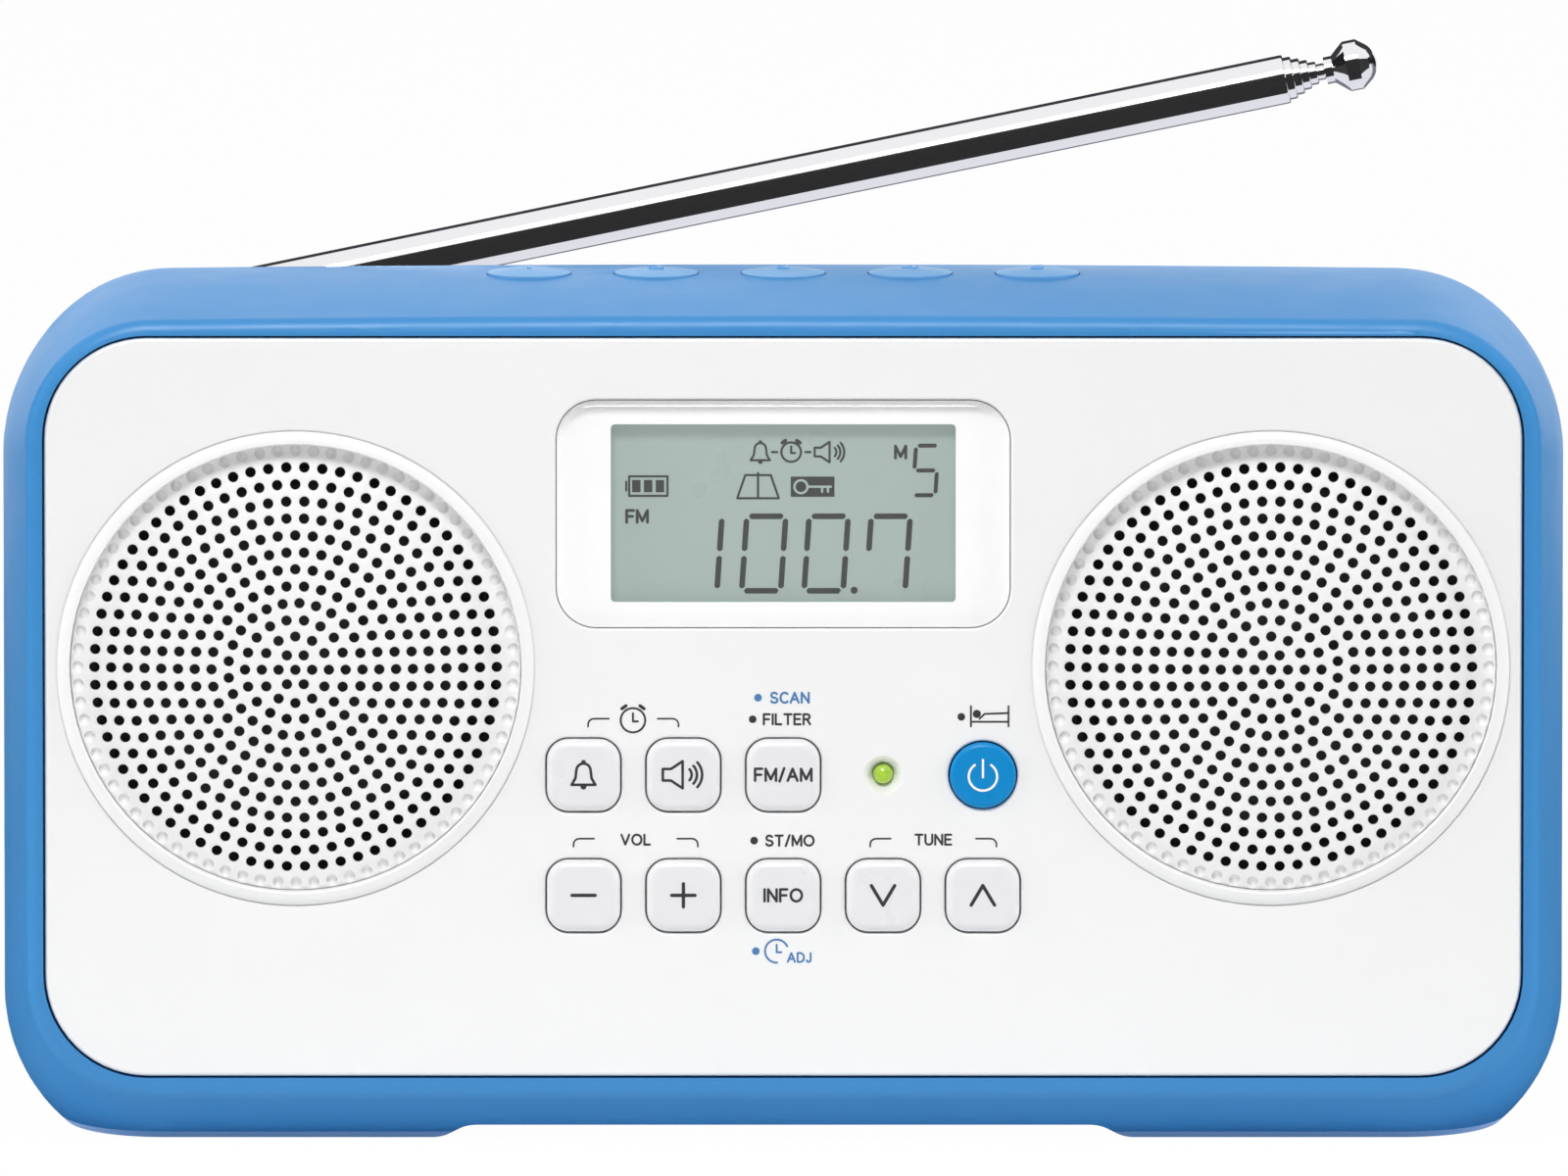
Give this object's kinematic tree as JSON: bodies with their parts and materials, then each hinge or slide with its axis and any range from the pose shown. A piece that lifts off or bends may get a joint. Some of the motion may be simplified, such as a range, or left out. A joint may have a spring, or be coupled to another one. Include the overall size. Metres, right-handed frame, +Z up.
{
  "type": "tabletop radio",
  "caption": "Portable tabletop radio: white front with round grilles, a display and keys in a rounded blue cabinet, with preset keys on top and a folding telescopic antenna.",
  "frame": {"origin": "on the resting plane under the middle of the cabinet", "axes": "+X to the right seen from the front, +Y from the front to the back, +Z up"},
  "size_m": [0.215, 0.0588, 0.1471],
  "materials": {
    "white_plastic": "fine satin moulded white",
    "grille_white": "satin white, punched",
    "key_white": "satin moulded white",
    "blue_plastic": "soft satin moulded blue",
    "preset_blue": "soft satin moulded light blue",
    "power_key_blue": "gloss moulded blue",
    "clear_lens": "clear gloss lens",
    "white_mask": "printed white",
    "lcd_cell": "grey-green liquid crystal cell",
    "light_guide": "frosted",
    "lamp_green": "tinted lamp",
    "circuit_board": "green solder mask",
    "black_plastic": "moulded black",
    "plated_steel": "bright plated",
    "ferrite": "sintered dark grey",
    "copper_winding": "enamelled wire",
    "cell_jacket": "printed jacket, plain",
    "cone_paper": "coated paper",
    "surround_rubber": "thin rubber",
    "chrome": "polished chrome"
  },
  "bodies": {
    "cabinet": {"front_panel": "white_plastic", "body_band": "blue_plastic", "rear_cover": "blue_plastic", "display_lens": "clear_lens", "display_mask": "white_mask", "lcd_glass": "lcd_cell", "lcd_backlight": "light_guide", "status_led": "lamp_green", "front_board": "circuit_board", "top_board": "circuit_board", "main_board": "circuit_board", "front_switches": "black_plastic", "top_switches": "black_plastic", "tuner_shield": "plated_steel", "ferrite_rod": "ferrite", "ferrite_coil": "copper_winding", "ferrite_clips": "black_plastic", "headphone_jack": "black_plastic", "dc_jack": "black_plastic", "battery_cells": "cell_jacket", "battery_springs": "plated_steel", "battery_plates": "plated_steel", "case_screws": "plated_steel", "inner_screws": "plated_steel", "left_grille": "grille_white", "left_speaker_frame": "plated_steel", "left_speaker_magnet": "ferrite", "left_speaker_surround": "surround_rubber", "right_grille": "grille_white", "right_speaker_frame": "plated_steel", "right_speaker_magnet": "ferrite", "right_speaker_surround": "surround_rubber"},
    "alarm_buzzer_key": {"alarm_buzzer_key": "key_white"},
    "alarm_radio_key": {"alarm_radio_key": "key_white"},
    "band_key": {"band_key": "key_white"},
    "volume_down_key": {"volume_down_key": "key_white"},
    "volume_up_key": {"volume_up_key": "key_white"},
    "display_key": {"display_key": "key_white"},
    "tuning_down_key": {"tuning_down_key": "key_white"},
    "tuning_up_key": {"tuning_up_key": "key_white"},
    "power_key": {"power_key": "power_key_blue"},
    "preset_key_1": {"preset_key_1": "preset_blue"},
    "preset_key_2": {"preset_key_2": "preset_blue"},
    "preset_key_3": {"preset_key_3": "preset_blue"},
    "preset_key_4": {"preset_key_4": "preset_blue"},
    "preset_key_5": {"preset_key_5": "preset_blue"},
    "left_cone": {"left_speaker_cone": "cone_paper"},
    "right_cone": {"right_speaker_cone": "cone_paper"},
    "battery_door": {"battery_door": "blue_plastic"},
    "antenna_swivel": {"antenna_swivel": "chrome", "antenna_swivel_screw": "plated_steel", "antenna_pin": "plated_steel"},
    "antenna_section_1": {"antenna_tube_1": "chrome"},
    "antenna_section_2": {"antenna_tube_2": "chrome"},
    "antenna_section_3": {"antenna_tube_3": "chrome"},
    "antenna_section_4": {"antenna_tube_4": "chrome"},
    "antenna_section_5": {"antenna_tube_5": "chrome"},
    "antenna_section_6": {"antenna_tube_6": "chrome", "antenna_tip": "chrome"}
  },
  "joints": [
    {"name": "alarm_buzzer_key_press", "type": "slide", "parent": "cabinet", "child": "alarm_buzzer_key", "axis": [0, 1, 0], "range_m": [0, 0.0006], "stiffness_N_per_m": 2000},
    {"name": "alarm_radio_key_press", "type": "slide", "parent": "cabinet", "child": "alarm_radio_key", "axis": [0, 1, 0], "range_m": [0, 0.0006], "stiffness_N_per_m": 2000},
    {"name": "band_key_press", "type": "slide", "parent": "cabinet", "child": "band_key", "axis": [0, 1, 0], "range_m": [0, 0.0006], "stiffness_N_per_m": 2000},
    {"name": "volume_down_key_press", "type": "slide", "parent": "cabinet", "child": "volume_down_key", "axis": [0, 1, 0], "range_m": [0, 0.0006], "stiffness_N_per_m": 2000},
    {"name": "volume_up_key_press", "type": "slide", "parent": "cabinet", "child": "volume_up_key", "axis": [0, 1, 0], "range_m": [0, 0.0006], "stiffness_N_per_m": 2000},
    {"name": "display_key_press", "type": "slide", "parent": "cabinet", "child": "display_key", "axis": [0, 1, 0], "range_m": [0, 0.0006], "stiffness_N_per_m": 2000},
    {"name": "tuning_down_key_press", "type": "slide", "parent": "cabinet", "child": "tuning_down_key", "axis": [0, 1, 0], "range_m": [0, 0.0006], "stiffness_N_per_m": 2000},
    {"name": "tuning_up_key_press", "type": "slide", "parent": "cabinet", "child": "tuning_up_key", "axis": [0, 1, 0], "range_m": [0, 0.0006], "stiffness_N_per_m": 2000},
    {"name": "power_key_press", "type": "slide", "parent": "cabinet", "child": "power_key", "axis": [0, 1, 0], "range_m": [0, 0.0006], "stiffness_N_per_m": 2000},
    {"name": "preset_key_1_press", "type": "slide", "parent": "cabinet", "child": "preset_key_1", "axis": [0, 0, -1], "range_m": [0, 0.0008], "stiffness_N_per_m": 2000},
    {"name": "preset_key_2_press", "type": "slide", "parent": "cabinet", "child": "preset_key_2", "axis": [0, 0, -1], "range_m": [0, 0.0008], "stiffness_N_per_m": 2000},
    {"name": "preset_key_3_press", "type": "slide", "parent": "cabinet", "child": "preset_key_3", "axis": [0, 0, -1], "range_m": [0, 0.0008], "stiffness_N_per_m": 2000},
    {"name": "preset_key_4_press", "type": "slide", "parent": "cabinet", "child": "preset_key_4", "axis": [0, 0, -1], "range_m": [0, 0.0008], "stiffness_N_per_m": 2000},
    {"name": "preset_key_5_press", "type": "slide", "parent": "cabinet", "child": "preset_key_5", "axis": [0, 0, -1], "range_m": [0, 0.0008], "stiffness_N_per_m": 2000},
    {"name": "left_cone_move", "type": "slide", "parent": "cabinet", "child": "left_cone", "axis": [0, 1, 0], "range_m": [-0.001, 0.001], "stiffness_N_per_m": 1200, "deforming": ["left_speaker_surround"]},
    {"name": "right_cone_move", "type": "slide", "parent": "cabinet", "child": "right_cone", "axis": [0, 1, 0], "range_m": [-0.001, 0.001], "stiffness_N_per_m": 1200, "deforming": ["right_speaker_surround"]},
    {"name": "battery_door_hinge", "type": "hinge", "parent": "cabinet", "child": "battery_door", "pos_m": [0, 0.028, 0.022], "axis": [-1, 0, 0], "range_deg": [0, 75]},
    {"name": "antenna_turn", "type": "hinge", "parent": "cabinet", "child": "antenna_swivel", "pos_m": [-0.09, 0.0245, 0.104], "axis": [0, 0, 1], "range_deg": [0, 180]},
    {"name": "antenna_tilt", "type": "hinge", "parent": "antenna_swivel", "child": "antenna_section_1", "pos_m": [-0.09, 0.0245, 0.1085], "axis": [0, -1, 0], "range_deg": [-11.7, 78.3]},
    {"name": "antenna_extend_1", "type": "slide", "parent": "antenna_section_1", "child": "antenna_section_2", "axis": [0.9792, 0, 0.2028], "range_m": [0, 0.11]},
    {"name": "antenna_extend_2", "type": "slide", "parent": "antenna_section_2", "child": "antenna_section_3", "axis": [0.9792, 0, 0.2028], "range_m": [0, 0.11]},
    {"name": "antenna_extend_3", "type": "slide", "parent": "antenna_section_3", "child": "antenna_section_4", "axis": [0.9792, 0, 0.2028], "range_m": [0, 0.11]},
    {"name": "antenna_extend_4", "type": "slide", "parent": "antenna_section_4", "child": "antenna_section_5", "axis": [0.9792, 0, 0.2028], "range_m": [0, 0.11]},
    {"name": "antenna_extend_5", "type": "slide", "parent": "antenna_section_5", "child": "antenna_section_6", "axis": [0.9792, 0, 0.2028], "range_m": [0, 0.11]}
  ]
}
